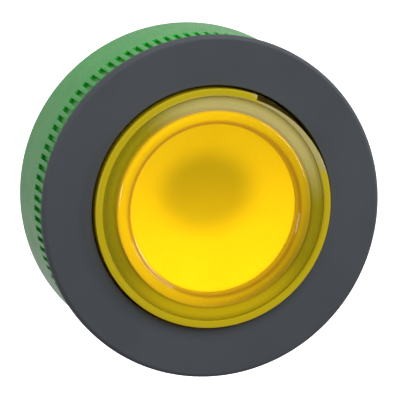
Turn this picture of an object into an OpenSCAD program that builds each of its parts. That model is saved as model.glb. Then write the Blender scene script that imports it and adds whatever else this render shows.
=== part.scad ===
// Illuminated push-button head for a round panel hole.
// The head's axis is Y: the front faces -Y, the panel is clamped at y = 0, and +Z is up.
// Every piece is turned about a local Z axis, with z as depth behind the panel seat, and then laid along Y.

/* [Panel] */
// Diameter of the round hole in the panel
panel_hole_d = 30.5; // [29:0.1:40]
// Thickness of the panel that the nut is set for
panel_t = 2; // [2:0.1:6]
// Radial clearance of the barrel in the panel hole
hole_gap = 0.25; // [0.1:0.05:0.5]

/* [Bezel] */
// How far the bezel reaches past the panel hole all round
bezel_cover = 2.75; // [2.4:0.05:6]
// Thickness of the bezel in front of the panel
bezel_t = 0.95; // [0.9:0.05:2]
// Round on the bezel's front outer edge
bezel_round = 0.45; // [0.1:0.05:0.5]
// Round on the front edge of the bezel's bore
bore_round = 0.12; // [0.05:0.01:0.3]
// Length of the bezel's collar behind the panel seat
collar_len = 6.5; // [6:0.1:7]
// Wall of the bezel's collar
collar_wall = 0.8; // [0.6:0.1:1.2]
// Depth of the recess in the bezel that the barrel's front end goes into
spigot_depth = 0.4; // [0.2:0.05:0.45]
// Step from the barrel's outside to its front end
spigot_step = 0.4; // [0.2:0.05:0.5]

/* [Gasket] */
// Inner radial gap between gasket and barrel
gasket_bore_gap = 0.4; // [0.2:0.05:0.6]
// Width of the bezel's rim outside the gasket
rim_land = 0.8; // [0.5:0.05:2]
// Thickness of the gasket
gasket_t = 0.45; // [0.3:0.05:0.45]
// How far the bezel's land inside the gasket stays short of the panel
land_drop = 0.2; // [0.1:0.05:0.4]

/* [Barrel] */
// Wall of the threaded barrel
barrel_wall = 1.3; // [1.2:0.1:2]
// Thickness of the floor that closes the barrel's back
floor_t = 1.5; // [1:0.1:3]
// Pitch of the thread
thread_pitch = 1.5; // [1:0.25:2]
// Depth of the thread
thread_depth = 0.65; // [0.3:0.05:0.8]
// How far the thread's crests lie below the plain front of the barrel
crest_drop = 0.1; // [0.05:0.05:0.2]
// Width of the keyway along the top of the barrel
keyway_w = 3; // [2:0.1:4]
// Depth of the keyway
keyway_depth = 0.85; // [0.5:0.05:0.9]

/* [Neck] */
// Outside diameter of the rear neck that contact blocks clip on to
neck_d = 22; // [21:0.1:26]
// Wall of the neck
neck_wall = 1.5; // [1.3:0.1:2.4]
// Width of the latch groove round the neck
latch_w = 1.5; // [1:0.1:2]
// Depth of the latch groove
latch_depth = 0.7; // [0.3:0.1:0.8]
// Distance from the barrel's back to the latch groove
latch_place = 4.5; // [2:0.1:6]

/* [Nut] */
// How far the fixing nut reaches past the panel hole all round
nut_cover = 2.15; // [2.05:0.05:6]
// Length of the fixing nut
nut_len = 9.9; // [8:0.05:11]
// Number of slots round the nut's front edge
slot_count = 100; // [60:1:110]
// Width of one slot
slot_w = 0.52; // [0.3:0.01:0.6]
// Length of the slots, from the nut's front edge
slot_len = 3.2; // [1.5:0.05:4]
// Radial depth of the slots
slot_depth = 0.35; // [0.3:0.05:0.55]
// Chamfer on the nut's edges
nut_chamfer = 0.2; // [0.1:0.05:0.4]

/* [Thrust washer] */
// Thickness of the thrust washer
washer_t = 1; // [0.6:0.1:1.5]
// Radial width of the thrust washer
washer_w = 1; // [0.8:0.1:1.2]
// Radial clearance of the washer over the thread and inside the nut
washer_gap = 0.3; // [0.2:0.05:0.4]
// How far the washer stands in front of the nut
washer_proud = 0.1; // [0.05:0.05:0.3]

/* [Button] */
// How far the button can be pressed
travel = 4; // [2:0.1:4]
// How far the front edge of the lens stands in front of the bezel
lens_proud = 0.85; // [0.2:0.05:2]
// Radial clearance of the button in the bezel
slide_gap = 0.2; // [0.15:0.01:0.3]

/* [Lens cap] */
// Width of the lens rim, which is also the lens cap's side wall
rim_w = 0.75; // [0.6:0.05:1]
// Width of the clear channel inside the rim
channel_w = 1.5; // [1:0.1:2]
// Width of the raised ring round the dish
ridge_w = 1.3; // [1:0.05:2]
// Radius of the raised ring's round top
ridge_round = 0.8; // [0.7:0.05:1.2]
// How far the raised ring stands in front of the lens rim
ridge_proud = 0.4; // [0.2:0.05:0.7]
// Depth of the dish below the top of the raised ring
dish_depth = 1.85; // [1:0.05:1.9]
// Thickness of the lens at the middle of the dish
lens_t = 1; // [0.8:0.05:1.5]
// Thickness of the lens in the channel
channel_t = 1.2; // [0.8:0.05:1.3]
// How far the channel's front falls back from the raised ring to the rim
channel_fall = 0.25; // [0:0.05:0.3]
// Round on the front edge of the lens rim
lens_round = 0.3; // [0.1:0.05:0.5]
// Length of the lens cap's side wall behind the panel seat
wall_len = 4.15; // [4:0.05:4.5]
// Off-centre distance that sets how deep the pry notch is
notch_offset = 0.67; // [0.2:0.01:0.7]
// Angle above horizontal where the pry notch starts
notch_start = 15; // [0:1:30]
// Angle above horizontal where the pry notch ends
notch_end = 70; // [45:1:90]
// Depth of the pry notch from the front edge of the lens
notch_depth = 2.2; // [1:0.1:2.6]

/* [Light parts] */
// Thickness of the filter disc behind the lens
filter_t = 0.35; // [0.2:0.05:0.5]
// Thickness of the diffuser
diffuser_t = 1.1; // [0.8:0.05:1.2]
// Length of the light guide's straight stem
stem_len = 3.4; // [2:0.1:5]
// Thickness of the light guide's front disc
guide_disc_t = 0.7; // [0.5:0.05:1]

/* [Carrier] */
// Wall of the carrier's front sleeve, which the lens cap snaps on to
sleeve_wall = 1.2; // [1:0.05:1.3]
// Wall of the carrier's rear skirt
skirt_wall = 1.2; // [1:0.1:1.4]
// Width of the ledge that the diffuser rests on
ledge_w = 1.1; // [0.8:0.1:1.2]
// Thickness of the carrier's web
web_t = 1; // [0.8:0.1:1.2]
// Length of the carrier's flange behind the lens cap
flange_len = 1.5; // [1.4:0.1:1.8]
// Length of the carrier's skirt behind its flange
skirt_len = 3.8; // [3:0.1:4.5]
// Thickness of the lens seal's ring
seal_wire = 0.7; // [0.5:0.05:0.7]

/* [Plunger] */
// Bore through the plunger for the lamp
lamp_bore_d = 12; // [10:0.1:12.4]
// Step in the lamp bore that stops the lamp
lamp_stop = 0.4; // [0.2:0.1:0.5]
// Wall of the plunger
plunger_wall = 1.2; // [1:0.1:1.3]
// Thickness of the plunger's front flange
plunger_flange_t = 0.8; // [0.6:0.1:1]
// Length of the plunger behind the guide bush at rest
plunger_tail = 2.5; // [2.4:0.1:2.6]
// Thickness of the retaining ring
ring_t = 0.8; // [0.6:0.1:0.9]
// Depth of the retaining ring's groove
ring_groove = 0.5; // [0.3:0.05:0.6]
// How far the retaining ring stands out of the plunger
ring_proud = 1.4; // [1:0.1:1.5]

/* [Push fork] */
// Thickness of the push fork's ring
fork_ring_t = 1; // [0.8:0.1:1.1]
// Radial thickness of the push fork's ring
fork_ring_w = 1.7; // [1.4:0.1:1.8]
// Radial thickness of a prong
prong_t = 1.4; // [1:0.1:1.5]
// Width of a prong
prong_w = 3; // [2:0.1:4]
// How far the prongs reach past the neck at rest, negative while they stay inside
prong_reach = -0.4; // [-0.6:0.1:0]

/* [Bush and spring] */
// Wall of the guide bush
bush_wall = 1.15; // [1:0.05:1.2]
// Length of the guide bush behind its flange
bush_len = 3; // [2.5:0.1:3.1]
// Thickness of the guide bush's flange
bush_flange_t = 0.8; // [0.6:0.1:1]
// Radial width of the guide bush's flange outside its sleeve
bush_flange_w = 1.6; // [1.2:0.1:2]
// Thickness of the spring seat
seat_t = 0.5; // [0.4:0.1:0.8]
// Length of the return spring at rest
spring_len = 7.65; // [7.65:0.05:9]
// Wire thickness of the return spring
spring_wire = 0.7; // [0.5:0.05:0.7]
// Number of turns of the return spring
spring_turns = 4; // [3:0.5:4]
// Radial gap between plunger and spring
spring_gap = 1.3; // [1:0.1:1.5]

/* [Seals and guide plate] */
// Length of the lip seal
lip_len = 1.2; // [0.8:0.1:1.4]
// Thickness of the seal retainer
retainer_t = 0.8; // [0.6:0.1:1]
// Thickness of the rear guide plate
plate_t = 1.2; // [1:0.1:1.2]
// Step in the neck that the guide plate rests against
plate_step = 0.4; // [0.3:0.05:0.5]
// Clearance all round a prong in the guide plate
prong_gap = 0.3; // [0.2:0.05:0.3]
// Radial clearance of the guide plate's hole round the lamp bore
lamp_gap = 0.6; // [0.4:0.05:0.6]
// Length of the neck behind that plate's clip
neck_land = 0.5; // [0.4:0.1:1]
// Thickness of the clip that holds the guide plate
clip_t = 0.6; // [0.5:0.05:0.7]
// Radial width of that clip
clip_w = 1.1; // [0.9:0.05:1.2]
// Depth of that clip's groove
clip_groove = 0.35; // [0.2:0.05:0.4]
// Opening angle of the clip and of the retaining ring
clip_opening = 50; // [20:1:90]

/* [Hidden] */

// Gaps: assembled pieces, a running fit, pieces that snap together, pieces that move past each other,
// and the plunger's end from the guide plate when it is pressed
fit_gap = 0.05;
run_gap = 0.05;
snap_gap = 0.1;
free_gap = 0.3;
press_gap = 0.55;
// How far a cutter runs past what it cuts
over = 0.5;

// Radii from the panel hole inwards
hole_r = panel_hole_d / 2;
bezel_r = hole_r + bezel_cover;
barrel_r = hole_r - hole_gap;
crest_r = barrel_r - crest_drop;
spigot_r = barrel_r - spigot_step;
barrel_bore_r = barrel_r - barrel_wall;
collar_r = barrel_bore_r - snap_gap;
bezel_bore_r = collar_r - collar_wall;
lens_r = bezel_bore_r - slide_gap;
rim_r = lens_r - rim_w;
channel_r = rim_r - channel_w;
dish_r = channel_r - ridge_w;
ridge_r = (channel_r + dish_r) / 2;

// Bezel and gasket
bezel_front = -bezel_t;
gasket_in_r = barrel_r + gasket_bore_gap;
gasket_out_r = bezel_r - rim_land;

// Lens cap, from its front back
lens_front = bezel_front - lens_proud;
ridge_front = lens_front - ridge_proud;
dish_floor = ridge_front + dish_depth;
ridge_edge_z = ridge_front + ridge_round - sqrt(pow(ridge_round, 2) - pow(ridge_w / 2, 2));
dish_sag = dish_floor - ridge_edge_z;
dish_sphere_r = (pow(dish_r, 2) + pow(dish_sag, 2)) / (2 * dish_sag);
dish_centre_z = dish_floor - dish_sphere_r;
lens_back = dish_floor + lens_t;
channel_back = lens_front + channel_t;

// Filter, diffuser and light guide: the filter and the diffuser's front follow the dish
light_r = channel_r + fit_gap;
lens_back_sphere_r = dish_sphere_r + lens_t;
filter_sphere_r = lens_back_sphere_r + fit_gap;
diffuser_sphere_r = filter_sphere_r + filter_t + fit_gap;
diffuser_back = dish_centre_z + diffuser_sphere_r + diffuser_t;
ledge_z = diffuser_back + fit_gap;
ledge_r = light_r - ledge_w;

// Carrier
sleeve_r = rim_r - snap_gap;
sleeve_bore_r = sleeve_r - sleeve_wall;
flange_z = wall_len + fit_gap;
web_z = flange_z + flange_len;
web_back = web_z + web_t;
skirt_end = web_z + skirt_len;
skirt_bore_r = lens_r - skirt_wall;
bead = 0.2;
bead_len = 0.4;
bead_z = wall_len - 2 * bead_len;
seal_groove_len = seal_wire + 2 * snap_gap;
seal_z = bead_z - bead_len - seal_groove_len;

// Plunger and light guide stem
lamp_r = lamp_bore_d / 2;
plunger_r = lamp_r + plunger_wall;
plunger_front = web_back + fit_gap;
plunger_flange_back = plunger_front + plunger_flange_t;
stem_bore_r = lamp_r - lamp_stop;
stem_r = stem_bore_r - snap_gap;
cone_back = plunger_front;
stem_back = cone_back + stem_len;
guide_r = ledge_r - snap_gap;
cone_front = ledge_z + guide_disc_t;
cone_slope = (guide_r - stem_r) / (cone_back - cone_front);
web_hole_r = guide_r - cone_slope * (web_z - cone_front) + free_gap;

// Spring, spring seat, bush and barrel floor, from the plunger's flange back
seat_front = plunger_flange_back + spring_len;
bush_front = seat_front + seat_t;
floor_front = bush_front + bush_flange_t;
barrel_len = floor_front + floor_t;
bush_bore_r = plunger_r + run_gap;
bush_r = bush_bore_r + bush_wall;
bush_back = floor_front + bush_len;
spring_in_r = plunger_r + spring_gap;
spring_r = spring_in_r + spring_wire / 2;
spring_lift = 0.03;
spring_start = plunger_flange_back + spring_wire / 2 + spring_lift;
spring_end = seat_front - spring_wire / 2 - spring_lift;

// Plunger tail, retaining ring and push fork
ring_z = bush_back + snap_gap;
plunger_back = bush_back + plunger_tail;
fork_z = plunger_back - fork_ring_t - 2 * snap_gap;
fork_r = plunger_r + fork_ring_w;
prong_out_r = fork_r;
neck_r = neck_d / 2;
neck_bore_r = neck_r - neck_wall;

// Guide plate, its clip and the neck's back, clear of the plunger when it is pressed
plate_z = plunger_back + travel + press_gap;
clip_z = plate_z + plate_t + fit_gap;
neck_back = clip_z + clip_t + neck_land;
prong_back = neck_back + prong_reach;
plate_seat_r = neck_bore_r + plate_step;
plate_r = plate_seat_r - fit_gap;
plate_hole_r = lamp_r + lamp_gap;
clip_groove_r = plate_seat_r + clip_groove;

// Nut and washer
washer_front = panel_t + fit_gap;
washer_back = washer_front + washer_t;
washer_in_r = crest_r + washer_gap;
washer_out_r = washer_in_r + washer_w;
nut_front = washer_front + washer_proud;
nut_back = nut_front + nut_len;
nut_r = hole_r + nut_cover;
nut_bore_r = crest_r + run_gap + fit_gap / 2;
key_gap = 0.15;

// Facets of drawn circles: the real surfaces are true curves
fine = 144;
small = 48;

// Lays a piece that is turned about Z along the head's axis
module along_axis() {
    rotate([-90, 0, 0]) children();
}

// A turned ring between two radii and two depths
module ring(r_in, r_out, z0, z1) {
    difference() {
        translate([0, 0, z0]) cylinder(r = r_out, h = z1 - z0, $fn = fine);
        translate([0, 0, z0 - over]) cylinder(r = r_in, h = z1 - z0 + 2 * over, $fn = fine);
    }
}

// A turned disc
module disc(r, z0, z1) {
    translate([0, 0, z0]) cylinder(r = r, h = z1 - z0, $fn = fine);
}

// A rectangle of a turned section, between two radii and two depths
module block(r0, r1, z0, z1) {
    translate([r0, z0]) square([r1 - r0, z1 - z0]);
}

// The waste outside a round of radius r at the corner (x, z); sx and sz point into the material
module round_off(x, z, r, sx, sz) {
    difference() {
        translate([sx > 0 ? x - over : x - r, sz > 0 ? z - over : z - r]) square(r + over);
        translate([x + sx * r, z + sz * r]) circle(r = r, $fn = small);
    }
}

// A wedge of space about the axis, between two angles measured from +X towards +Z
module wedge(from, to, r, z0, z1) {
    translate([0, 0, z0]) linear_extrude(height = z1 - z0)
        polygon([[0, 0], for (i = [0:4]) let (a = from + (to - from) * i / 4) [r * cos(a), -r * sin(a)]]);
}

// Bezel: front plate with its collar, a groove for the gasket and a recess for the barrel's front end
module bezel() {
    color([0.29, 0.30, 0.32]) along_axis() rotate_extrude($fn = fine) difference() {
        union() {
            block(bezel_bore_r, bezel_r, bezel_front, 0);
            block(bezel_bore_r, collar_r, bezel_front, collar_len);
        }
        round_off(bezel_r, bezel_front, bezel_round, -1, 1);
        round_off(bezel_bore_r, bezel_front, bore_round, 1, 1);
        block(gasket_in_r, gasket_out_r, -gasket_t, over);
        block(collar_r, spigot_r + snap_gap, -spigot_depth - fit_gap, over);
        block(collar_r, gasket_in_r + over, -land_drop, over);
    }
}

// Gasket: flat rubber ring in the bezel's back, which seals against the panel
module panel_gasket() {
    color([0.10, 0.10, 0.11]) along_axis()
        ring(gasket_in_r + fit_gap, gasket_out_r - fit_gap, fit_gap - gasket_t, 0);
}

// Thread form: triangular grooves at the thread's pitch, from the plain front to the barrel's back
module thread_grooves() {
    first = panel_t + thread_pitch / 2;
    for (z = [first : thread_pitch : barrel_len - thread_pitch / 2])
        translate([crest_r, z])
            polygon([[-thread_depth, 0], [over, -thread_pitch * 0.72], [over, thread_pitch * 0.72]]);
}

// Barrel: threaded tube with a floor at its back and a narrower neck behind the floor
module body_barrel() {
    color([0.13, 0.13, 0.14]) along_axis() difference() {
        rotate_extrude($fn = fine) difference() {
            union() {
                block(barrel_bore_r, spigot_r, -spigot_depth, 0);
                block(barrel_bore_r, barrel_r, 0, panel_t);
                block(barrel_bore_r, crest_r, panel_t, barrel_len);
                block(bush_r, crest_r, floor_front, barrel_len);
                block(neck_bore_r, neck_r, floor_front + floor_t / 2, neck_back);
            }
            thread_grooves();
            block(neck_r - latch_depth, neck_r + over, barrel_len + latch_place,
                barrel_len + latch_place + latch_w);
            block(neck_bore_r - over, plate_seat_r, plate_z, neck_back + over);
            block(neck_bore_r, clip_groove_r, clip_z - fit_gap, clip_z + clip_t + fit_gap);
            round_off(neck_r, neck_back, lens_round, -1, -1);
        }
        translate([-keyway_w / 2, -barrel_r - over, -spigot_depth - over])
            cube([keyway_w, keyway_depth + over, barrel_len + spigot_depth + 2 * over]);
    }
}

// Lip seal: rubber ring behind the collar, which wipes the button's side
module lip_seal() {
    color([0.08, 0.08, 0.09]) along_axis() rotate_extrude($fn = fine) difference() {
        block(lens_r + run_gap, barrel_bore_r - fit_gap, collar_len + fit_gap, collar_len + lip_len);
        translate([(lens_r + barrel_bore_r) / 2, collar_len + lip_len]) circle(r = lip_len / 6, $fn = small);
    }
}

// Seal retainer: hard ring pressed in behind the lip seal
module seal_retainer() {
    color([0.75, 0.75, 0.72]) along_axis()
        ring(lens_r + free_gap, barrel_bore_r - fit_gap, collar_len + lip_len + fit_gap,
            collar_len + lip_len + fit_gap + retainer_t);
}

// Guide bush: flanged sleeve pressed into the barrel's floor, in which the plunger slides
module guide_bush() {
    color([0.85, 0.84, 0.78]) along_axis() {
        difference() {
            union() {
                disc(bush_r - fit_gap, bush_front, bush_back);
                disc(bush_r + bush_flange_w, bush_front, floor_front - fit_gap);
            }
            disc(bush_bore_r, bush_front - over, bush_back + over);
        }
    }
}

// Spring seat: thin steel washer between the spring and the bush
module spring_seat() {
    color([0.78, 0.78, 0.80]) along_axis()
        ring(bush_bore_r + free_gap, bush_r + bush_flange_w, seat_front, bush_front - fit_gap);
}

// Return spring: round wire wound in a helix, swept from a few points for each turn
spring_steps = 26;
spring_sides = 8;
function helix_point(i, n) = let (a = 360 * spring_turns * i / n)
    [spring_r * cos(a), spring_r * sin(a), spring_start + (spring_end - spring_start) * i / n];
function wire_ring(i, n) = let (a = 360 * spring_turns * i / n, c = helix_point(i, n))
    [for (k = [0 : spring_sides - 1]) let (b = 360 * k / spring_sides)
        c + spring_wire / 2 * [cos(b) * cos(a), cos(b) * sin(a), sin(b)]];
module return_spring() {
    n = spring_turns * spring_steps;
    s = spring_sides;
    points = [for (i = [0 : n]) each wire_ring(i, n)];
    sides = [for (i = [0 : n - 1], k = [0 : s - 1])
        [i * s + k, (i + 1) * s + k, (i + 1) * s + (k + 1) % s, i * s + (k + 1) % s]];
    start_cap = [[for (k = [0 : s - 1]) k]];
    end_cap = [[for (k = [s - 1 : -1 : 0]) n * s + k]];
    color([0.70, 0.71, 0.73]) along_axis() polyhedron(points, concat(sides, start_cap, end_cap));
}

// A box for one prong on the +X side, grown by a clearance all round
module prong_box(grow, z0, z1) {
    translate([prong_out_r - prong_t - grow, -prong_w / 2 - grow, z0])
        cube([prong_t + 2 * grow, prong_w + 2 * grow, z1 - z0]);
}

// Rear guide plate: closes the neck, guides the prongs and leaves the lamp's way open
module rear_guide_plate() {
    color([0.16, 0.16, 0.17]) along_axis() difference() {
        ring(plate_hole_r, plate_r, plate_z + fit_gap, plate_z + plate_t);
        for (side = [0, 180]) rotate([0, 0, side])
            prong_box(prong_gap, plate_z - over, plate_z + plate_t + over);
    }
}

// An open ring, such as a circlip
module open_ring(r_in, r_out, z, t, middle) {
    difference() {
        ring(r_in, r_out, z, z + t);
        wedge(middle - clip_opening / 2, middle + clip_opening / 2, r_out * 2, z - over, z + t + over);
    }
}

// Plate clip: open steel ring in the neck's groove, behind the guide plate
module plate_clip() {
    color([0.72, 0.73, 0.75]) along_axis()
        open_ring(clip_groove_r - clip_w, clip_groove_r - fit_gap, clip_z, clip_t, 90);
}

// A half disc of a turned section, for a spherical face that is parallel to the dish
module dish_circle(r) {
    translate([0, dish_centre_z]) circle(r = r, $fn = 8 * fine);
}

// Lens cap: dish, raised ring, channel and side wall, with a pry notch in the rim and a snap bead inside
module lens_cap() {
    color([1.0, 0.84, 0.0, 0.75]) along_axis() difference() {
        rotate_extrude($fn = fine) difference() {
            union() {
                block(rim_r, lens_r, lens_front, wall_len);
                block(dish_r, rim_r, lens_front, channel_back);
                block(dish_r, channel_r, ridge_front + ridge_round, channel_back);
                intersection() {
                    dish_circle(lens_back_sphere_r);
                    block(0, ridge_r, ridge_edge_z, lens_back + over);
                }
                translate([ridge_r, ridge_front + ridge_round]) circle(r = ridge_round, $fn = small);
                block(rim_r - bead, rim_r, bead_z, bead_z + bead_len);
            }
            round_off(lens_r, lens_front, lens_round, -1, 1);
            intersection() {
                dish_circle(dish_sphere_r);
                block(0, ridge_r, ridge_front - over, dish_floor + over);
            }
            block(0, dish_r, ridge_front - over, ridge_edge_z);
            polygon([[channel_r, lens_front], [channel_r, lens_front - over], [rim_r, lens_front - over],
                [rim_r, lens_front + channel_fall]]);
        }
        difference() {
            wedge(notch_start, notch_end, lens_r * 2, lens_front - over, lens_front + notch_depth);
            rotate([0, 0, 90 - notch_start]) translate([notch_offset, 0, lens_front - 2 * over])
                cylinder(r = lens_r, h = notch_depth + 4 * over, $fn = fine);
        }
    }
}

// Filter disc: thin clear film that lies behind the dish
module filter_disc() {
    color([1.0, 0.93, 0.55, 0.8]) along_axis() rotate_extrude($fn = fine) difference() {
        intersection() {
            dish_circle(filter_sphere_r + filter_t);
            block(0, dish_r - fit_gap, ridge_front, diffuser_back);
        }
        dish_circle(filter_sphere_r);
    }
}

// Diffuser: milky disc with a dished front and a rim under the raised ring, which spreads the lamp's light
module diffuser() {
    color([0.96, 0.95, 0.90]) along_axis() rotate_extrude($fn = fine) difference() {
        block(0, channel_r, channel_back + fit_gap, diffuser_back);
        intersection() {
            dish_circle(diffuser_sphere_r);
            block(0, dish_r, ridge_front, diffuser_back);
        }
    }
}

// Lens seal: rubber ring in the carrier's groove, inside the lens cap's wall
module lens_seal() {
    color([0.07, 0.07, 0.08]) along_axis() rotate_extrude($fn = fine)
        translate([rim_r - fit_gap / 4 - seal_wire / 2, seal_z + seal_groove_len / 2])
            circle(r = seal_wire / 2 - fit_gap / 4, $fn = small);
}

// Carrier: front sleeve for the lens cap, flange, web and skirt
module lens_carrier() {
    color([0.15, 0.15, 0.16]) along_axis() rotate_extrude($fn = fine) difference() {
        union() {
            block(sleeve_bore_r, sleeve_r, lens_back - snap_gap, web_z);
            block(ledge_r, sleeve_r, ledge_z, ledge_z + ledge_w);
            block(sleeve_bore_r, lens_r, flange_z, web_z);
            block(web_hole_r, lens_r, web_z, web_back);
            block(skirt_bore_r, lens_r, web_z, skirt_end);
            block(skirt_bore_r - bead, skirt_bore_r, plunger_flange_back + fit_gap,
                plunger_flange_back + fit_gap + bead_len);
        }
        block(rim_r - seal_wire - fit_gap / 2, rim_r, seal_z, seal_z + seal_groove_len);
        block(rim_r - bead - snap_gap, rim_r, bead_z - fit_gap, bead_z + bead_len + fit_gap);
    }
}

// Plunger: flanged tube that snaps into the carrier's skirt and leads the lamp's light forward
module plunger() {
    color([0.17, 0.17, 0.18]) along_axis() rotate_extrude($fn = fine) difference() {
        union() {
            block(lamp_r, skirt_bore_r - fit_gap, plunger_front, plunger_flange_back);
            block(lamp_r, plunger_r, plunger_front, plunger_back);
            block(stem_bore_r, plunger_r, plunger_front, stem_back + fit_gap);
        }
        block(plunger_r - ring_groove, plunger_r + over, ring_z - fit_gap, ring_z + ring_t + fit_gap);
    }
}

// Light guide: clear disc, cone and stem that carry the lamp's light to the diffuser
module light_guide() {
    color([0.85, 0.92, 0.95, 0.5]) along_axis() rotate_extrude($fn = fine)
        polygon([[0, ledge_z], [guide_r, ledge_z], [guide_r, cone_front], [stem_r, cone_back],
            [stem_r, stem_back], [0, stem_back]]);
}

// Retaining ring: open steel ring in the plunger's groove, which stops the button at rest
module retaining_ring() {
    color([0.72, 0.73, 0.75]) along_axis()
        open_ring(plunger_r - ring_groove + fit_gap, plunger_r + ring_proud, ring_z, ring_t, 90);
}

// Push fork: ring pressed on the plunger, with two prongs that reach back to the contact blocks
module push_fork() {
    color([0.80, 0.79, 0.74]) along_axis() {
        ring(plunger_r, fork_r, fork_z, fork_z + fork_ring_t);
        for (side = [0, 180]) rotate([0, 0, side]) prong_box(0, fork_z, prong_back);
    }
}

// Thrust washer: ring in the nut's front with a tongue in the barrel's keyway
module thrust_washer() {
    tongue_w = keyway_w - 2 * key_gap;
    tongue_in_r = barrel_r - keyway_depth + free_gap;
    color([0.74, 0.75, 0.77]) along_axis() {
        ring(washer_in_r, washer_out_r, washer_front, washer_back);
        translate([-tongue_w / 2, -washer_in_r - washer_w / 2, washer_front])
            cube([tongue_w, washer_in_r + washer_w / 2 - tongue_in_r, washer_t]);
    }
}

// Fixing nut: smooth ring with slots cut into its front edge and a counterbore for the washer
module fixing_nut() {
    color([0.33, 0.60, 0.37]) along_axis() difference() {
        rotate_extrude($fn = fine) difference() {
            block(nut_bore_r, nut_r, nut_front, nut_back);
            block(nut_bore_r - over, washer_out_r + washer_gap, nut_front - over, washer_back + fit_gap);
            translate([nut_r, nut_back]) rotate(45) square(nut_chamfer * sqrt(2), center = true);
            translate([nut_bore_r, nut_back]) rotate(45) square(2 * nut_chamfer * sqrt(2), center = true);
        }
        for (i = [0 : slot_count - 1]) rotate([0, 0, 360 * (i + 0.5) / slot_count])
            translate([nut_r - slot_depth, -slot_w / 2, nut_front - over])
                cube([slot_depth + over, slot_w, slot_len + over]);
    }
}

bezel();
panel_gasket();
body_barrel();
lip_seal();
seal_retainer();
guide_bush();
spring_seat();
return_spring();
rear_guide_plate();
plate_clip();
lens_cap();
filter_disc();
diffuser();
lens_seal();
lens_carrier();
plunger();
light_guide();
retaining_ring();
push_fork();
thrust_washer();
fixing_nut();
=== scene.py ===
# Illuminated push-button head for a round panel hole, seen from its front at the left and a little above.
# The head's axis is Y: the front faces -Y, the panel is clamped at y = 0, and +Z is up.
import math

import bmesh
import bpy
from mathutils import Matrix, Vector


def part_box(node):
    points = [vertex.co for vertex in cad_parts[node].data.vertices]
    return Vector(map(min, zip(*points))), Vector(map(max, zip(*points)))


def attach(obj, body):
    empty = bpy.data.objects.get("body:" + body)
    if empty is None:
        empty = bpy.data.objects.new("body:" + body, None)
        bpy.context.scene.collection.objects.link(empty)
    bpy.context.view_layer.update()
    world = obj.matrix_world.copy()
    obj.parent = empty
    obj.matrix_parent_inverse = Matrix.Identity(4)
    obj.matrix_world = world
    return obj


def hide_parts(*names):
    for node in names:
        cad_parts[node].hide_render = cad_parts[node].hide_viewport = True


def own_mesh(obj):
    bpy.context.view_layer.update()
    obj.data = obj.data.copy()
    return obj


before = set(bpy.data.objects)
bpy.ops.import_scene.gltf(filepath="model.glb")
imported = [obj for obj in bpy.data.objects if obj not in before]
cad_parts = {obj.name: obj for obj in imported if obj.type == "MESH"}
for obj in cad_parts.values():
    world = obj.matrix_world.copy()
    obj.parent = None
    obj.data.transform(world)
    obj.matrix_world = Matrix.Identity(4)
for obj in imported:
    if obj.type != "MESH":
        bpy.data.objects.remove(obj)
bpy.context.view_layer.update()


# ---- Bezel ----
# One moulding of dark grey thermoplastic with a fine satin face. Its collar goes into the barrel,
# a groove in its back takes the gasket, and the edge of its bore is barely broken.
MM = 0.001
HEAD_AXIS = Vector((0, 1, 0))
TURN_STEPS = 192
CREASE = 32


def arc(radius, depth, size, start, end, count):
    """Corners along a round stretch of an outline. Angles are in degrees from outwards towards the back."""
    angles = [math.radians(start + (end - start) * i / count) for i in range(count + 1)]
    return [(radius + size * math.cos(a), depth + size * math.sin(a), 0) for a in angles]


def turned(outline, steps=TURN_STEPS):
    """A solid turned about the head's axis from a closed outline of (radius, depth, rounding) in mm."""
    bm = bmesh.new()
    corners = [bm.verts.new((radius * MM, depth * MM, 0)) for radius, depth, _ in outline]
    bm.faces.new(corners)
    for size in sorted({corner[2] for corner in outline} - {0}):
        picked = [v for v, corner in zip(corners, outline) if corner[2] == size]
        bmesh.ops.bevel(bm, geom=picked, offset=size * MM, offset_type="OFFSET", affect="VERTICES",
                        segments=5, profile=0.5, material=-1)
    bmesh.ops.delete(bm, geom=bm.faces[:], context="FACES_ONLY")
    on_axis = [e for e in bm.edges if all(abs(v.co.x) < 0.001 * MM for v in e.verts)]
    bmesh.ops.delete(bm, geom=on_axis, context="EDGES")
    bmesh.ops.spin(bm, geom=bm.verts[:] + bm.edges[:], cent=(0, 0, 0), axis=HEAD_AXIS, dvec=(0, 0, 0),
                   angle=math.tau, steps=steps, use_merge=True)
    bmesh.ops.remove_doubles(bm, verts=bm.verts[:], dist=0.0005 * MM)
    bmesh.ops.recalc_face_normals(bm, faces=bm.faces[:])
    return bm


def finished(name, bm, material, body, slot, *nodes, crease=CREASE):
    """Makes the mesh an object that rides on its body and stands for its nodes. The crease is in degrees."""
    mesh = bpy.data.meshes.new(name)
    bm.to_mesh(mesh)
    bm.free()
    mesh.materials.append(material)
    mesh.shade_smooth()
    mesh.set_sharp_from_angle(angle=math.radians(crease))
    piece = bpy.data.objects.new(name, mesh)
    bpy.context.scene.collection.objects.link(piece)
    weighted = piece.modifiers.new("flat_faces", "WEIGHTED_NORMAL")
    weighted.keep_sharp = True
    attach(piece, body)
    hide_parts(*nodes)
    return piece


def link(tree, source, target):
    tree.links.new(source, target)


def new_material(name):
    """A material with a Principled shader and Object coordinates."""
    material = bpy.data.materials.new(name)
    material.use_nodes = True
    tree = material.node_tree
    shader = next(n for n in tree.nodes if n.type == "BSDF_PRINCIPLED")
    place = tree.nodes.new("ShaderNodeTexCoord")
    return material, tree, shader, place.outputs["Object"]


def noise(tree, place, size, detail=2.0):
    """Noise whose features are about that many mm across."""
    node = tree.nodes.new("ShaderNodeTexNoise")
    node.inputs["Scale"].default_value = 1 / (size * MM)
    node.inputs["Detail"].default_value = detail
    link(tree, place, node.inputs["Vector"])
    return node.outputs["Fac"]


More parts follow.
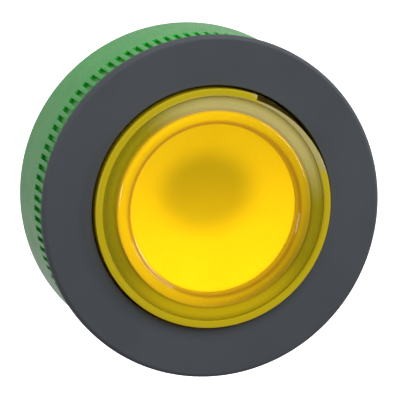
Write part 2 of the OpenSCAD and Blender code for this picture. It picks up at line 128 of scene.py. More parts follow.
def ranged(tree, value, low, high, start=0.3, end=0.7):
    """The value brought from start..end to low..high, for a shader's input."""
    node = tree.nodes.new("ShaderNodeMapRange")
    node.interpolation_type = "SMOOTHSTEP"
    for socket, number in zip(("From Min", "From Max", "To Min", "To Max"), (start, end, low, high)):
        node.inputs[socket].default_value = number
    link(tree, value, node.inputs["Value"])
    return node.outputs["Result"]


def mixed(tree, factor, first, second):
    """A mix of two colours, each a colour or another node's output."""
    node = tree.nodes.new("ShaderNodeMix")
    node.data_type = "RGBA"
    link(tree, factor, node.inputs["Factor"])
    for socket, colour in (("A", first), ("B", second)):
        target = next(s for s in node.inputs if s.name == socket and s.type == "RGBA")
        if isinstance(colour, tuple):
            target.default_value = (*colour, 1)
        else:
            link(tree, colour, target)
    return next(s for s in node.outputs if s.type == "RGBA")


def bumped(tree, shader, height, depth):
    """Turns the height into a bump that many mm deep."""
    node = tree.nodes.new("ShaderNodeBump")
    node.inputs["Strength"].default_value = 1.0
    node.inputs["Distance"].default_value = depth * MM
    link(tree, height, node.inputs["Height"])
    link(tree, node.outputs["Normal"], shader.inputs["Normal"])


def moulded(name, colour, variation, roughness, grain, depth):
    """Moulded plastic: a slow drift of colour, a fine grain in the surface and an uneven gloss.

    The grain's size and depth are in mm."""
    material, tree, shader, place = new_material(name)
    colour_patch, gloss_patch = 9.0, 2.5
    shade = tuple(c * (1 - variation) for c in colour)
    light = tuple(c * (1 + variation) for c in colour)
    drift = ranged(tree, noise(tree, place, colour_patch), 0, 1)
    link(tree, mixed(tree, drift, shade, light), shader.inputs["Base Color"])
    gloss = noise(tree, place, gloss_patch)
    link(tree, ranged(tree, gloss, roughness[0], roughness[1]), shader.inputs["Roughness"])
    bumped(tree, shader, noise(tree, place, grain, 3.0), depth)
    return material


bezel_low, bezel_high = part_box("bezel")
bezel_radius = bezel_high.x / MM
bezel_front = bezel_low.y / MM
collar_back = bezel_high.y / MM
bore_radius, collar_radius = 12.8, 13.6
groove_inner, groove_outer, groove_floor = 15.4, 17.2, -0.45
land_back, recess_radius, recess_floor = -0.2, 14.7, -0.45
face_rounding, bore_rounding, groove_rounding, land_rounding = 0.45, 0.12, 0.08, 0.05
bezel_grey = moulded("bezel_grey", colour=(0.075, 0.083, 0.096), variation=0.05, roughness=(0.50, 0.58),
                     grain=0.16, depth=0.0035)
bezel_outline = [
    (bore_radius, bezel_front, bore_rounding), (bezel_radius, bezel_front, face_rounding),
    (bezel_radius, 0, 0.1), (groove_outer, 0, groove_rounding), (groove_outer, groove_floor, 0),
    (groove_inner, groove_floor, 0), (groove_inner, land_back, land_rounding),
    (recess_radius, land_back, land_rounding), (recess_radius, recess_floor, 0),
    (collar_radius, recess_floor, 0), (collar_radius, collar_back, 0.15), (bore_radius, collar_back, 0.1)]
finished("bezel_moulding", turned(bezel_outline), bezel_grey, "housing", "bezel_grey", "bezel")


# ---- Panel gasket ----
# Flat ring of black rubber that sits in the groove of the bezel's back and seals against the panel.
# A shallow channel in its back leaves two lips that bear on the panel.
def rubber(name, colour, bloom_patch=3.0, bloom_strength=1.9, grain=0.12, depth=0.006):
    """Matt rubber: dusty bloom in patches over a fine texture. Sizes and depth are in mm."""
    material, tree, shader, place = new_material(name)
    bloom = tuple(c * bloom_strength for c in colour)
    dusty = ranged(tree, noise(tree, place, bloom_patch, 4.0), 0, 1, 0.45, 0.75)
    link(tree, mixed(tree, dusty, colour, bloom), shader.inputs["Base Color"])
    link(tree, ranged(tree, noise(tree, place, 1.2), 0.68, 0.86), shader.inputs["Roughness"])
    shader.inputs["Specular IOR Level"].default_value = 0.35
    bumped(tree, shader, noise(tree, place, grain), depth)
    return material


gasket_low, gasket_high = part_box("panel_gasket")
gasket_inner, gasket_outer = 15.45, gasket_high.x / MM
lip_width, lip_depth = 0.55, 0.12
seal_rubber = rubber("seal_rubber", (0.016, 0.016, 0.017))
gasket_outline = [
    (gasket_inner, gasket_low.y / MM, 0.1), (gasket_outer, gasket_low.y / MM, 0.1),
    (gasket_outer, 0, 0.12), (gasket_outer - lip_width, 0, 0.1), (gasket_outer - lip_width, -lip_depth, 0),
    (gasket_inner + lip_width, -lip_depth, 0), (gasket_inner + lip_width, 0, 0.1), (gasket_inner, 0, 0.12)]
finished("panel_gasket_ring", turned(gasket_outline), seal_rubber, "housing", "seal_rubber", "panel_gasket")


# ---- Barrel ----
# Black moulded tube with a right-hand thread for the fixing nut, a keyway along its top that lines it up
# in the panel, a floor at its back, and a neck with a latch groove on which the contact blocks clip.
def carved(piece, cutter):
    """Takes the cutter's shape out of the piece."""
    mesh = bpy.data.meshes.new("cutter")
    cutter.to_mesh(mesh)
    cutter.free()
    tool = bpy.data.objects.new("cutter", mesh)
    bpy.context.scene.collection.objects.link(tool)
    cut = piece.modifiers.new("cut", "BOOLEAN")
    cut.operation, cut.solver, cut.object = "DIFFERENCE", "EXACT", tool
    piece.modifiers.move(len(piece.modifiers) - 1, 0)
    bpy.context.view_layer.objects.active = piece
    with bpy.context.temp_override(object=piece, active_object=piece):
        bpy.ops.object.modifier_apply(modifier="cut")
    bpy.data.objects.remove(tool)
    bpy.data.meshes.remove(mesh)
    piece.data.set_sharp_from_angle(angle=math.radians(CREASE))


def brick(low, high):
    """A block between two corners in mm."""
    bm = bmesh.new()
    size = [(h - l) * MM for l, h in zip(low, high)]
    middle = [(h + l) / 2 * MM for l, h in zip(low, high)]
    bmesh.ops.create_cube(bm, size=1, matrix=Matrix.Translation(middle) @ Matrix.Diagonal((*size, 1)))
    return bm


def helix(section, turns, pitch, steps_per_turn):
    """A closed solid swept from a section of (radius, depth) corners in mm along a right-hand helix."""
    bm = bmesh.new()
    ring = [bm.verts.new((radius * MM, depth * MM, 0)) for radius, depth in section]
    start = bm.faces.new(ring)
    count = round(turns * steps_per_turn)
    swept = bmesh.ops.spin(bm, geom=ring + list(start.edges), cent=(0, 0, 0), axis=HEAD_AXIS,
                           dvec=(0, pitch * MM * turns / count, 0), angle=math.tau * turns, steps=count)
    last = [v for v in swept["geom_last"] if isinstance(v, bmesh.types.BMVert)]
    bmesh.ops.contextual_create(bm, geom=last)
    bmesh.ops.recalc_face_normals(bm, faces=bm.faces[:])
    return bm


barrel_low, barrel_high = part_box("body_barrel")
spigot_front, neck_back = barrel_low.y / MM, barrel_high.y / MM
spigot_radius, pilot_radius = 14.6, barrel_high.x / MM
pilot_back, floor_front, floor_back = 2.0, 16.5, 18.0
barrel_bore, bush_seat = 13.7, 8.4
thread_root, thread_crest, thread_pitch = 14.25, 14.9, 1.5
crest_width, root_width = 0.28, 1.42
thread_relief, thread_sink, first_turn, thread_turns, thread_steps = 0.5, 0.2, 0.85, 9.38, 96
neck_radius, neck_bore, latch_radius = 11.0, 9.5, 10.3
latch_front, latch_back = 22.5, 24.0
plate_seat, plate_front = 9.9, 26.55
clip_radius, clip_front, clip_back = 10.25, 27.75, 28.45
body_black = moulded("body_black", colour=(0.017, 0.017, 0.019), variation=0.12, roughness=(0.38, 0.48),
                     grain=0.2, depth=0.003)
barrel_outline = [
    (barrel_bore, spigot_front, 0.1), (spigot_radius, spigot_front, 0.1), (spigot_radius, 0, 0),
    (pilot_radius, 0, 0.05), (pilot_radius, pilot_back, 0.1), (thread_root, pilot_back + thread_relief, 0.1),
    (thread_root, floor_back, 0.35),
    (neck_radius, floor_back, 0.15), (neck_radius, latch_front, 0.08), (latch_radius, latch_front, 0.1),
    (latch_radius, latch_back, 0.1), (neck_radius, latch_back, 0.08), (neck_radius, neck_back, 0.3),
    (plate_seat, neck_back, 0.15), (plate_seat, clip_back, 0), (clip_radius, clip_back, 0),
    (clip_radius, clip_front, 0), (plate_seat, clip_front, 0), (plate_seat, plate_front, 0),
    (neck_bore, plate_front, 0), (neck_bore, floor_back, 0.1), (bush_seat, floor_back, 0.05),
    (bush_seat, floor_front, 0.05), (barrel_bore, floor_front, 0.2)]
thread_start = pilot_back + first_turn
ridge = [
    (thread_root - thread_sink, thread_start - root_width / 2), (thread_root, thread_start - root_width / 2),
    (thread_crest, thread_start - crest_width / 2), (thread_crest, thread_start + crest_width / 2),
    (thread_root, thread_start + root_width / 2), (thread_root - thread_sink, thread_start + root_width / 2)]
barrel = finished("threaded_barrel", turned(barrel_outline), body_black, "housing", "body_black",
                  "body_barrel")
thread = finished("barrel_thread", helix(ridge, thread_turns, thread_pitch, thread_steps), body_black,
                  "housing", "body_black")
keyway_half, keyway_floor = 1.5, 14.15
cut_margin, keyway_run_out = 1.0, 0.5
for threaded in (barrel, thread):
    carved(threaded, brick((-keyway_half, spigot_front - cut_margin, keyway_floor),
                           (keyway_half, floor_back + keyway_run_out, pilot_radius + cut_margin)))


# ---- Lip seal and its retainer ----
# Soft ring that wipes the side of the button, and the hard white ring pressed in behind it.
# Both are turned sections in the barrel's bore, out of sight behind the bezel's collar.
inner_white = moulded("inner_white", colour=(0.66, 0.65, 0.60), variation=0.04, roughness=(0.34, 0.44),
                      grain=0.25, depth=0.003)


def finish_node(name, material):
    """Gives a CAD node its material."""
    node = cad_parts[name]
    node.data.materials.clear()
    node.data.materials.append(material)


finish_node("lip_seal", seal_rubber)
finish_node("seal_retainer", inner_white)


# ---- Guide bush, spring seat and return spring ----
# White self-lubricating bush pressed into the floor, a zinc-plated washer in front of it, and a spring
# wound from bright drawn wire.
def metal(name, colour, dulling, roughness, grain, depth):
    """Steel with a fine drawn or rolled grain, and faint patches in its colour and its gloss."""
    material, tree, shader, place = new_material(name)
    colour_patch, gloss_patch = 2.0, 0.8
    shader.inputs["Metallic"].default_value = 1.0
    dull = tuple(c * dulling for c in colour)
    patches = ranged(tree, noise(tree, place, colour_patch, 3.0), 0, 1)
    link(tree, mixed(tree, patches, dull, colour), shader.inputs["Base Color"])
    gloss = noise(tree, place, gloss_patch, 3.0)
    link(tree, ranged(tree, gloss, roughness[0], roughness[1]), shader.inputs["Roughness"])
    bumped(tree, shader, noise(tree, place, grain), depth)
    return material


zinc_steel = metal("zinc_steel", colour=(0.60, 0.61, 0.65), dulling=0.85, roughness=(0.28, 0.42),
                   grain=0.3, depth=0.002)
spring_steel = metal("spring_steel", colour=(0.54, 0.55, 0.57), dulling=0.8, roughness=(0.2, 0.34),
                     grain=0.15, depth=0.0015)
finish_node("guide_bush", inner_white)
finish_node("spring_seat", zinc_steel)

spring_low, spring_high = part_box("return_spring")
wire_radius, spring_radius, spring_turns = 0.35, 8.85, 4
spring_first = spring_low.y / MM + wire_radius
spring_last = spring_high.y / MM - wire_radius
wire_sides, coil_steps = 14, 72
wire_section = [
    (spring_radius + wire_radius * math.cos(math.tau * i / wire_sides),
     spring_first + wire_radius * math.sin(math.tau * i / wire_sides)) for i in range(wire_sides)]
spring_pitch = (spring_last - spring_first) / spring_turns
spring = finished("spring_wire", helix(wire_section, spring_turns, spring_pitch, coil_steps), spring_steel,
                  "housing", "spring_steel", "return_spring", crease=60)
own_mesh(spring)


# ---- Rear guide plate and its clip ----
# Black disc that closes the neck, with two slots for the prongs and a hole for the lamp, and the open
# steel ring that snaps in behind it.
def eased(name, node, width, material, body, slot):
    """A copy of a node, merged, with its sharp edges eased by that many mm."""
    flat_angle, sharp_angle = math.radians(0.6), math.radians(40)
    bm = bmesh.new()
    bm.from_mesh(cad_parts[node].data)
    bmesh.ops.remove_doubles(bm, verts=bm.verts[:], dist=0.002 * MM)
    bmesh.ops.dissolve_limit(bm, angle_limit=flat_angle, verts=bm.verts[:], edges=bm.edges[:])
    sharp = [e for e in bm.edges if e.is_manifold and e.calc_face_angle() > sharp_angle]
    bmesh.ops.bevel(bm, geom=sharp, offset=width * MM, offset_type="OFFSET", affect="EDGES", segments=2,
                    profile=0.5, material=-1, clamp_overlap=True)
    return finished(name, bm, material, body, slot, node)


eased("guide_plate", "rear_guide_plate", 0.08, body_black, "housing", "body_black")
eased("guide_plate_clip", "plate_clip", 0.06, spring_steel, "housing", "spring_steel")


# ---- Lens cap ----
# Polished moulding of clear yellow plastic: a dish inside a raised ring, a clear channel round it and a
# side wall that snaps over the carrier with a bead. A pry notch is cut into the rim at the upper right.
cap_low, cap_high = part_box("lens_cap")
cap_radius, wall_back = cap_high.x / MM, cap_high.y / MM
crest_front = cap_low.y / MM
crest_proud, dish_depth = 0.4, 1.85
rim_front = crest_front + crest_proud
rim_inner, channel_inner, dish_radius = 11.85, 10.35, 9.05
crest_round, crest_middle = 0.8, 9.7
dish_floor = crest_front + dish_depth
crest_half_angle = math.degrees(math.asin((crest_middle - dish_radius) / crest_round))
dish_edge = crest_front + crest_round * (1 - math.cos(math.radians(crest_half_angle)))
dish_sag = dish_floor - dish_edge
dish_sphere = (dish_radius ** 2 + dish_sag ** 2) / (2 * dish_sag)
dish_centre = dish_floor - dish_sphere
lens_thickness, channel_thickness = 1.0, 1.2
channel_back = rim_front + channel_thickness
bead_height, bead_front, bead_back = 0.2, 3.35, 3.75
channel_fall = 0.25


def along(tree, place, direction, low, high, start, end):
    """A value that goes from low to high between two distances, in mm, along a direction."""
    node = tree.nodes.new("ShaderNodeVectorMath")
    node.operation = "DOT_PRODUCT"
    node.inputs[1].default_value = direction
    link(tree, place, node.inputs[0])
    return ranged(tree, node.outputs["Value"], low, high, start * MM, end * MM)


def reach(tree, place, middle=(0, 0), radii=(1, 1)):
    """Distance across the head from the middle (x, z), as a share of the radii (x, z), both in mm."""
    scaled = tree.nodes.new("ShaderNodeVectorMath")
    scaled.operation = "MULTIPLY_ADD"
    scaled.inputs[1].default_value = (1 / (radii[0] * MM), 0, 1 / (radii[1] * MM))
    scaled.inputs[2].default_value = (-middle[0] / radii[0], 0, -middle[1] / radii[1])
    link(tree, place, scaled.inputs[0])
    length = tree.nodes.new("ShaderNodeVectorMath")
    length.operation = "LENGTH"
    link(tree, scaled.outputs["Vector"], length.inputs[0])
    return length.outputs["Value"]


def near(tree, value, middle, width):
    """1 where the value lies at the middle, falling to 0 at that width from it."""
    off = tree.nodes.new("ShaderNodeMath")
    off.operation = "SUBTRACT"
    off.inputs[1].default_value = middle
    link(tree, value, off.inputs[0])
    size = tree.nodes.new("ShaderNodeMath")
    size.operation = "ABSOLUTE"
    link(tree, off.outputs["Value"], size.inputs[0])
    return ranged(tree, size.outputs["Value"], 1, 0, 0, width)


def clear_yellow():
    """Clear yellow plastic whose colour deepens with its thickness, with a very slightly uneven polish.

    Its rim and its channel carry painted light in place of the daylight that such plastic gathers:
    more below than above, with a paler painted reflection at the upper right, and none inside the ring or
    deeper than the rim. Darker amber lines at the dish's edge and at the ring's foot are painted shade."""
    material, tree, shader, place = new_material("lens_yellow")
    shader.inputs["Transmission Weight"].default_value = 0.85
    shader.inputs["IOR"].default_value = 1.49
    link(tree, ranged(tree, noise(tree, place, 1.5), 0.07, 0.12), shader.inputs["Roughness"])
    bumped(tree, shader, noise(tree, place, 1.6, 1.0), 0.004)
    outwards = reach(tree, place)

    tint, paler_tint = (1.0, 0.90, 0.015), (1.0, 0.93, 0.02)
    # The darker amber lines at the dish's edge and at the ring's foot are painted shade.
    dish_edge_painted_shade, ring_foot_painted_shade = (0.50, 0.32, 0.002), (0.42, 0.31, 0.002)
    at_dish_edge = near(tree, outwards, dish_radius + 0.1, 0.35)
    at_ring_foot = near(tree, outwards, channel_inner + 0.05, 0.3)
    tint_and_painted_shade = mixed(tree, ranged(tree, noise(tree, place, 6.0), 0, 1), tint, paler_tint)
    tint_and_painted_shade = mixed(tree, at_dish_edge, tint_and_painted_shade, dish_edge_painted_shade)
    tint_and_painted_shade = mixed(tree, at_ring_foot, tint_and_painted_shade, ring_foot_painted_shade)
    link(tree, tint_and_painted_shade, shader.inputs["Base Color"])

    # The emission is painted light: more below than above, a paler painted reflection at the upper right, and
    # brighter on the rim.
    painted_side_light, painted_lower_light, painted_upper_right_reflection = (0.11, 0.085, 0.0), (0.34, 0.23, 0.0), (0.29, 0.25, 0.13)
    painted_rim_light, no_painted_light = (0.33, 0.25, 0.004), (0.0, 0.0, 0.0)
    back, down, upper_right, notch_side = (0, 1, 0), (0, 0, -1), (0.42, 0, 0.91), (0.74, 0, 0.67)
    painted_light = mixed(tree, along(tree, place, down, 0, 1, 5, 11), painted_side_light, painted_lower_light)
    painted_light = mixed(tree, along(tree, place, upper_right, 0, 1, 4, 10), painted_light, painted_upper_right_reflection)
    within_rim = ranged(tree, outwards, 1, 0, rim_inner - 0.35, rim_inner + 0.3)
    off_notch = along(tree, place, notch_side, 1, 0, 10.8, 11.1)
    off_rim = tree.nodes.new("ShaderNodeMath")
    off_rim.operation = "MAXIMUM"
    link(tree, within_rim, off_rim.inputs[0])
    link(tree, ranged(tree, off_notch, 1, 0, 0, 1), off_rim.inputs[1])
    painted_light = mixed(tree, off_rim.outputs["Value"], painted_rim_light, painted_light)
    in_ring = ranged(tree, outwards, 1, 0, channel_inner - 0.1, channel_inner + 0.1)
    sunk = along(tree, place, back, 0, 1, rim_front + 0.12, rim_front + 0.3)
    painted_light = mixed(tree, sunk, mixed(tree, in_ring, painted_light, no_painted_light), no_painted_light)
    link(tree, painted_light, shader.inputs["Emission Color"])
    shader.inputs["Emission Strength"].default_value = 1.0

    body_tint = tree.nodes.new("ShaderNodeVolumeAbsorption")
    body_tint.inputs["Color"].default_value = (1.0, 0.80, 0.30, 1)
    body_tint.inputs["Density"].default_value = 300.0
    output = next(n for n in tree.nodes if n.type == "OUTPUT_MATERIAL")
    link(tree, body_tint.outputs["Volume"], output.inputs["Volume"])
    return material


def sphere_arc(size, out_to, count=24):
    """Corners on a sphere round the dish's centre, from the axis out to a radius."""
    end = math.asin(out_to / size)
    return [(size * math.sin(end * i / count), dish_centre + size * math.cos(end * i / count), 0)
            for i in range(count + 1)]


rim_rounding, crest_steps, cap_steps = 0.3, 14, 256
cap_outline = (
    sphere_arc(dish_sphere, dish_radius)
    + arc(crest_middle, crest_front + crest_round, crest_round, -90 - crest_half_angle,
          -90 + crest_half_angle, crest_steps)[1:]
    + [(channel_inner, rim_front, 0), (rim_inner, rim_front + channel_fall, 0), (rim_inner, rim_front, 0.08),
       (cap_radius, rim_front, rim_rounding), (cap_radius, wall_back, 0.12),
       (rim_inner, wall_back, 0.12), (rim_inner, bead_back, 0), (rim_inner - bead_height, bead_back, 0.06),
       (rim_inner - bead_height, bead_front, 0.06), (rim_inner, bead_front, 0),
       (rim_inner, channel_back, 0.2), (dish_radius, channel_back, 0)]
    + sphere_arc(dish_sphere + lens_thickness, dish_radius)[::-1])
lens_cap = finished("clear_lens_cap", turned(cap_outline, cap_steps), clear_yellow(), "button", "lens_yellow",
                    "lens_cap")

notch_start, notch_end, notch_offset, notch_depth, notch_steps = 15, 70, 0.67, 2.2, 64
notch_shift = math.radians(notch_start - 90)
notch_centre = Vector((math.cos(notch_shift), 0, math.sin(notch_shift))) * notch_offset * MM
notch_front, notch_back, past_cap = rim_front - 1, rim_front + notch_depth, cap_radius + 2
notch = bmesh.new()
notch_section = [
    notch.verts.new((radius * MM, depth * MM, 0))
    for radius, depth in ((cap_radius, notch_front), (past_cap, notch_front), (past_cap, notch_back),
                          (cap_radius, notch_back))]
notch_face = notch.faces.new(notch_section)
bmesh.ops.rotate(notch, verts=notch.verts[:], cent=(0, 0, 0),
                 matrix=Matrix.Rotation(math.radians(-notch_start), 3, "Y"))
bmesh.ops.translate(notch, verts=notch.verts[:], vec=notch_centre)
swept_notch = bmesh.ops.spin(
    notch, geom=notch_section + list(notch_face.edges), cent=notch_centre, axis=HEAD_AXIS, dvec=(0, 0, 0),
    angle=-math.radians(notch_end - notch_start), steps=notch_steps)
notch_tip = [v for v in swept_notch["geom_last"] if isinstance(v, bmesh.types.BMVert)]
bmesh.ops.contextual_create(notch, geom=notch_tip)
bmesh.ops.recalc_face_normals(notch, faces=notch.faces[:])
carved(lens_cap, notch)


# ---- Filter disc, diffuser and light guide ----
# Behind the dish lie a thin clear film and a milky disc, with a clear guide back to the lamp's place.
# No lamp is on: the disc's glow is painted light that stands in for gathered daylight, bright below and dull
# above the middle, where a soft patch of painted shade lies.
def milk_with_painted_light():
    """Milky plastic with a glow of painted light: bright below, duller above and in a soft patch of painted
    shade, brighter at its left rim than at its right, and with no painted light at its very edge.
    """
    material, tree, shader, place = new_material("milky_white")
    # The glow is painted light, bright below and dull above; the soft patch above the middle is painted
    # shade.
    painted_lower_light, painted_upper_light = (1.0, 0.64, 0.0), (0.57, 0.375, 0.0)
    lower_patch_painted_shade, upper_patch_painted_shade = (0.46, 0.30, 0.0), (0.30, 0.20, 0.0)
    painted_right_rim_light, painted_left_rim_light, no_painted_light = (0.28, 0.18, 0.0), (0.56, 0.39, 0.0), (0.0, 0.0, 0.0)
    shade_patch_middle, shade_patch_radii = (-0.3, 1.5), (6.0, 5.1)
    up, upper_left = (0, 0, 1), (-0.87, 0, 0.5)
    outwards = reach(tree, place)
    painted_light = mixed(tree, along(tree, place, up, 0, 1, -9, 9), painted_lower_light, painted_upper_light)
    dull = mixed(tree, along(tree, place, up, 0, 1, -2.5, 4.5), lower_patch_painted_shade, upper_patch_painted_shade)
    painted_shade_patch = ranged(tree, reach(tree, place, shade_patch_middle, shade_patch_radii), 0.92, 0, 0.5, 1.15)
    painted_light = mixed(tree, painted_shade_patch, painted_light, dull)
    painted_rim_light = mixed(tree, along(tree, place, upper_left, 0, 1, -9, 9), painted_right_rim_light, painted_left_rim_light)
    painted_light = mixed(tree, ranged(tree, outwards, 0, 1, 8.7, 9.5), painted_light, painted_rim_light)
    painted_light = mixed(tree, ranged(tree, outwards, 0, 1, 9.9, 10.25), painted_light, no_painted_light)
    link(tree, painted_light, shader.inputs["Emission Color"])
    shader.inputs["Emission Strength"].default_value = 1.8
    link(tree, mixed(tree, noise(tree, place, 3.0), (0.70, 0.68, 0.62), (0.76, 0.74, 0.68)),
         shader.inputs["Base Color"])
    shader.inputs["Roughness"].default_value = 0.45
    bumped(tree, shader, noise(tree, place, 0.4), 0.004)
    return material


def clear(name, colour, roughness):
    """Thin or solid clear plastic."""
    material, tree, shader, place = new_material(name)
    shader.inputs["Transmission Weight"].default_value = 1.0
    shader.inputs["IOR"].default_value = 1.49
    paler = tuple(min(1, c * 1.04) for c in colour)
    link(tree, mixed(tree, noise(tree, place, 4.0), colour, paler), shader.inputs["Base Color"])
    shader.inputs["Roughness"].default_value = roughness
    return material


finish_node("filter_disc", clear("filter_film", (0.97, 0.96, 0.86), 0.04))
finish_node("diffuser", milk_with_painted_light())
finish_node("light_guide", clear("clear_guide", (0.92, 0.95, 0.96), 0.05))


# ---- Carrier, lens seal and plunger ----
# Dark moulded carrier on which the lens cap snaps, a rubber ring between the two, and the tube that
# snaps into the carrier's skirt and runs back through the bush.
carrier_grey = moulded("carrier_grey", colour=(0.026, 0.026, 0.029), variation=0.1, roughness=(0.42, 0.52),
                       grain=0.22, depth=0.003)
finish_node("lens_seal", seal_rubber)
finish_node("lens_carrier", carrier_grey)
finish_node("plunger", carrier_grey)


# ---- Retaining ring and push fork ----
# Open steel ring in the plunger's groove, and the white fork pressed on the plunger's end, whose two
# prongs reach back through the guide plate to the contact blocks.
eased("plunger_ring", "retaining_ring", 0.07, spring_steel, "button", "spring_steel")
eased("prong_fork", "push_fork", 0.1, inner_white, "button", "inner_white")


# ---- Thrust washer and fixing nut ----
# Zinc-plated washer with a tongue in the keyway, and a glossy green nut. Its front edge has square slots
# for a spanner all round, and the rest of its outside is plain.
finish_node("thrust_washer", zinc_steel)

nut_low, nut_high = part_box("fixing_nut")
nut_radius, nut_front, nut_back = nut_high.x / MM, nut_low.y / MM, nut_high.y / MM
nut_bore, counterbore, counterbore_back = 14.975, 16.5, 3.1
slot_count, slot_width, slot_back, slot_depth = 100, 0.52, nut_front + 3.2, 0.35
slot_floor = nut_radius - slot_depth
slot_angle = slot_width / nut_radius
tooth_angle = math.tau / slot_count - slot_angle
back_round, bore_chamfer, tooth_round = 0.25, 0.4, 0.04


def slotted_nut():
    """One tooth and one slot are swept, and then repeated round the nut."""
    bm = bmesh.new()
    profile = [(counterbore, nut_front, 0), (slot_floor, nut_front, 0), (nut_radius, nut_front, 0),
               (nut_radius, slot_back, 0)]
    profile += arc(nut_radius - back_round, nut_back - back_round, back_round, 0, 90, 4)
    profile += [(nut_bore + bore_chamfer, nut_back, 0), (nut_bore, nut_back - bore_chamfer, 0),
                (nut_bore, counterbore_back, 0), (counterbore, counterbore_back, 0)]
    ring = [bm.verts.new((radius * MM, depth * MM, 0)) for radius, depth, _ in profile]
    edges = [bm.edges.new((a, b)) for a, b in zip(ring, ring[1:] + ring[:1])]
    around = {"cent": (0, 0, 0), "axis": HEAD_AXIS, "dvec": (0, 0, 0)}
    tooth = bmesh.ops.spin(bm, geom=ring + edges, angle=tooth_angle, steps=2, **around)

    def at(verts, radius, depth):
        """The corner of a swept outline that has this radius and depth."""
        return min(verts, key=lambda v: (abs(math.hypot(v.co.x, v.co.z) - radius * MM)
                                         + abs(v.co.y - depth * MM)))

    last = [g for g in tooth["geom_last"] if isinstance(g, bmesh.types.BMVert)]
    last_edges = [g for g in tooth["geom_last"] if isinstance(g, bmesh.types.BMEdge)]
    inner, outer, shoulder = (at(last, slot_floor, nut_front), at(last, nut_radius, nut_front),
                              at(last, nut_radius, slot_back))
    direction = Vector((outer.co.x, 0, outer.co.z)).normalized()
    foot = bm.verts.new(direction * slot_floor * MM + HEAD_AXIS * slot_back * MM)
    bm.faces.new((inner, outer, shoulder, foot))
    open_edges = [e for e in last_edges if outer not in e.verts]
    open_edges += [e for e in bm.edges if set(e.verts) in ({inner, foot}, {foot, shoulder})]
    open_verts = list({v for e in open_edges for v in e.verts})
    slot = bmesh.ops.spin(bm, geom=open_verts + open_edges, angle=slot_angle, steps=2, **around)
    end = [g for g in slot["geom_last"] if isinstance(g, bmesh.types.BMVert)]
    inner, shoulder, foot = (at(end, slot_floor, nut_front), at(end, nut_radius, slot_back),
                             at(end, slot_floor, slot_back))
    direction = Vector((shoulder.co.x, 0, shoulder.co.z)).normalized()
    outer = bm.verts.new(direction * nut_radius * MM + HEAD_AXIS * nut_front * MM)
    bm.faces.new((inner, outer, shoulder, foot))
    bmesh.ops.spin(bm, geom=bm.verts[:] + bm.edges[:] + bm.faces[:], use_duplicate=True,
                   angle=math.tau * (slot_count - 1) / slot_count, steps=slot_count - 1, **around)
    bmesh.ops.remove_doubles(bm, verts=bm.verts[:], dist=0.003 * MM)
    bmesh.ops.recalc_face_normals(bm, faces=bm.faces[:])
    teeth = [e for e in bm.edges
             if e.is_manifold and e.calc_face_angle() > math.radians(50)
             and all(math.hypot(v.co.x, v.co.z) > (slot_floor + 0.1) * MM and v.co.y < (slot_back + 0.1) * MM
                     for v in e.verts)]
    bmesh.ops.bevel(bm, geom=teeth, offset=tooth_round * MM, offset_type="OFFSET", affect="EDGES",
                    segments=2, profile=0.5, material=-1, clamp_overlap=True)
    return bm


def nut_plastic():
    """Glossy green plastic that lets a little light into its surface, with faint flow marks of moulding."""
    material, tree, shader, place = new_material("nut_green")
    green, lighter_green = (0.022, 0.42, 0.040), (0.028, 0.46, 0.048)
    flow = ranged(tree, noise(tree, place, 5.0, 3.0), 0, 1)
    link(tree, mixed(tree, flow, green, lighter_green), shader.inputs["Base Color"])
    link(tree, ranged(tree, noise(tree, place, 2.0), 0.24, 0.34), shader.inputs["Roughness"])
    shader.inputs["Subsurface Weight"].default_value = 0.35
    shader.inputs["Subsurface Radius"].default_value = (0.25, 1.0, 0.3)
    shader.inputs["Subsurface Scale"].default_value = 0.8 * MM
    shader.inputs["Coat Weight"].default_value = 0.4
    shader.inputs["Coat Roughness"].default_value = 0.2
    bumped(tree, shader, noise(tree, place, 0.9), 0.003)
    return material


finished("slotted_nut", slotted_nut(), nut_plastic(), "nut", "nut_green", "fixing_nut", crease=30)


# ---- Studio ----
# Pale floor below the head and a white room that is dim in front, so that the polished dish has no veil.
# The key box above the front leaves no image of itself, and a narrow strip at each side does.
floor_half, floor_height = 6.0, -0.085
floor_mesh = bpy.data.meshes.new("studio_floor")
floor_bm = bmesh.new()
bmesh.ops.create_grid(floor_bm, x_segments=1, y_segments=1, size=floor_half)
bmesh.ops.translate(floor_bm, verts=floor_bm.verts[:], vec=(0, 0, floor_height))
floor_bm.to_mesh(floor_mesh)
floor_bm.free()
studio_floor = bpy.data.objects.new("studio_floor", floor_mesh)
bpy.context.scene.collection.objects.link(studio_floor)
pale, pale_tree, pale_shader, pale_place = new_material("pale_floor")
pale_patches = noise(pale_tree, pale_place, 400.0)
link(pale_tree, mixed(pale_tree, pale_patches, (0.93, 0.93, 0.93), (0.95, 0.95, 0.95)),
     pale_shader.inputs["Base Color"])
pale_shader.inputs["Roughness"].default_value = 0.9
pale_shader.inputs["Specular IOR Level"].default_value = 0.0
pale_shader.inputs["Emission Color"].default_value = (1, 1, 1, 1)
pale_shader.inputs["Emission Strength"].default_value = 1.0
floor_mesh.materials.append(pale)
studio_floor.visible_diffuse = False
studio_floor.visible_glossy = False
studio_floor.visible_transmission = False

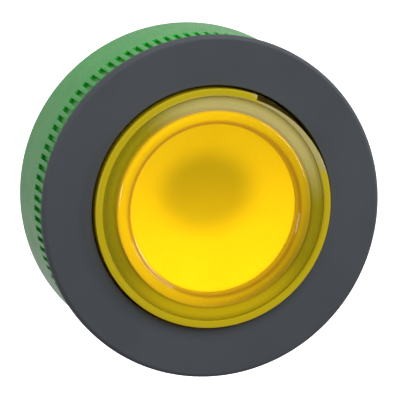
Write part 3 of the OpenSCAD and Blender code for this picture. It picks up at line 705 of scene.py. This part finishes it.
dim_front, bright_back = 0.10, 0.45
room = bpy.data.worlds.new("studio")
room.use_nodes = True
bpy.context.scene.world = room
room_tree = room.node_tree
backdrop = next(n for n in room_tree.nodes if n.type == "BACKGROUND")
room_place = room_tree.nodes.new("ShaderNodeTexCoord")
room_split = room_tree.nodes.new("ShaderNodeSeparateXYZ")
link(room_tree, room_place.outputs["Generated"], room_split.inputs["Vector"])
behind = ranged(room_tree, room_split.outputs["Y"], dim_front, bright_back, -0.75, 0.3)
seen = room_tree.nodes.new("ShaderNodeLightPath")
either = room_tree.nodes.new("ShaderNodeMath")
either.operation = "MAXIMUM"
link(room_tree, behind, either.inputs[0])
link(room_tree, seen.outputs["Is Camera Ray"], either.inputs[1])
link(room_tree, either.outputs["Value"], backdrop.inputs["Strength"])
backdrop.inputs["Color"].default_value = (1, 1, 1, 1)


def soft_box(name, place, aim, width, height, power, mirrored=True):
    """A rectangular light that faces its aim. One that isn't mirrored leaves no image in polished parts."""
    data = bpy.data.lights.new(name, "AREA")
    data.shape, data.size, data.size_y = "RECTANGLE", width, height
    data.energy = power
    lamp = bpy.data.objects.new(name, data)
    facing = (Vector(aim) - Vector(place)).to_track_quat("-Z", "Y")
    lamp.matrix_world = Matrix.Translation(place) @ facing.to_matrix().to_4x4()
    lamp.visible_glossy = lamp.visible_transmission = mirrored
    bpy.context.scene.collection.objects.link(lamp)


head_middle = (0, 0, 0)
soft_box("key_box", (0.2, -0.75, 0.75), head_middle, 0.9, 0.9, 11, mirrored=False)
soft_box("right_strip", (0.75, -0.35, 0.3), head_middle, 0.12, 0.6, 1.6)
soft_box("left_strip", (-0.8, -0.35, 0.05), head_middle, 0.06, 0.25, 0.7)

azimuth, elevation, distance = math.radians(-15.01), math.radians(10.98), 0.600
move_left, move_up = 0.00125, 0.000776
look_right = Vector((math.cos(azimuth), math.sin(azimuth), 0))
look_back = Vector((math.sin(azimuth) * math.cos(elevation), -math.cos(azimuth) * math.cos(elevation),
                    math.sin(elevation)))
look_up = look_back.cross(look_right)
camera_place = (Vector((0, bezel_front * MM, 0)) + look_back * distance - look_right * move_left
                + look_up * move_up)
camera = bpy.data.objects.new("camera", bpy.data.cameras.new("camera"))
camera.data.lens = 522.3
camera.data.sensor_width = 36
camera_turn = Matrix((look_right, look_up, look_back)).transposed().to_4x4()
camera.matrix_world = Matrix.Translation(camera_place) @ camera_turn
bpy.context.scene.collection.objects.link(camera)
bpy.context.scene.camera = camera
bpy.context.scene.view_settings.view_transform = "Standard"
